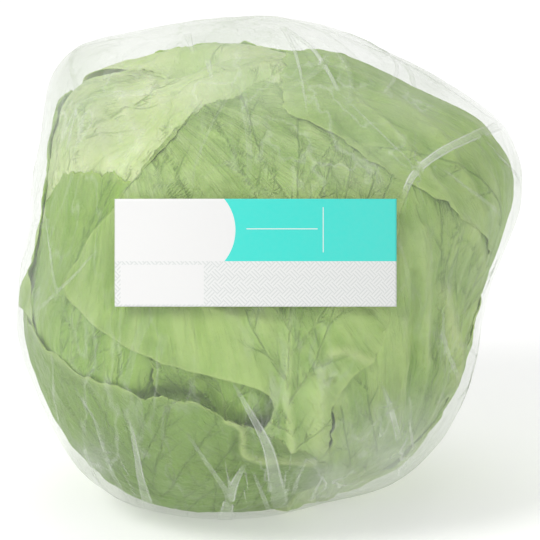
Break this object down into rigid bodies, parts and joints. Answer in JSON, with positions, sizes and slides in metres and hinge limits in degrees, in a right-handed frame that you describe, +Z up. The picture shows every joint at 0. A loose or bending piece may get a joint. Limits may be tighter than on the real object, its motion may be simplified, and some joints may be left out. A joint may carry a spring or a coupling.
{
  "type": "film-wrapped head of lettuce",
  "caption": "Crisphead lettuce wrapped in clear film: overlapping wrapper leaves round a packed heart on a cut stem, with a bare rectangular label.",
  "frame": {"origin": "on the floor under the middle of the wrapped head's box, within a few millimetres of the cut stem's axis", "axes": "+Z up from the cut stem to the crown, -Y towards the label, +X to the label's right as it is read"},
  "size_m": [0.1778, 0.166, 0.172],
  "materials": {
    "outer_leaf": "fresh leaf blade, mid green, soft waxy sheen",
    "under_leaf": "shaded leaf blade, deeper green, soft waxy sheen",
    "pale_leaf": "pale yellow-green leaf blade, soft waxy sheen",
    "heart_leaf": "crinkled pale heart leaf, crisp and moist",
    "stem_flesh": "cut stem flesh, cream, slightly browned at the rim",
    "clear_film": "thin clear film, milky at its creases",
    "label_paper": "coated label paper, white and turquoise, no lettering"
  },
  "bodies": {
    "root": {"wrapper_leaf_lower_left": "outer_leaf", "wrapper_leaf_upper_right": "outer_leaf", "wrapper_leaf_back": "outer_leaf", "wrapper_leaf_front": "outer_leaf", "wrapper_leaf_right": "outer_leaf", "side_leaf_left": "outer_leaf", "side_leaf_right": "outer_leaf", "under_leaf_front": "under_leaf", "under_leaf_left": "under_leaf", "crown_leaf_front": "pale_leaf", "pale_leaf_upper_left": "pale_leaf", "crown_leaf_back": "pale_leaf", "heart_leaf_01": "heart_leaf", "heart_leaf_02": "heart_leaf", "heart_leaf_03": "heart_leaf", "heart_leaf_04": "heart_leaf", "heart_leaf_05": "heart_leaf", "heart_leaf_06": "heart_leaf", "heart_leaf_07": "heart_leaf", "heart_leaf_08": "heart_leaf", "heart_bud": "heart_leaf", "stem_core": "stem_flesh", "film_wrap": "clear_film", "label": "label_paper"}
  },
  "joints": []
}
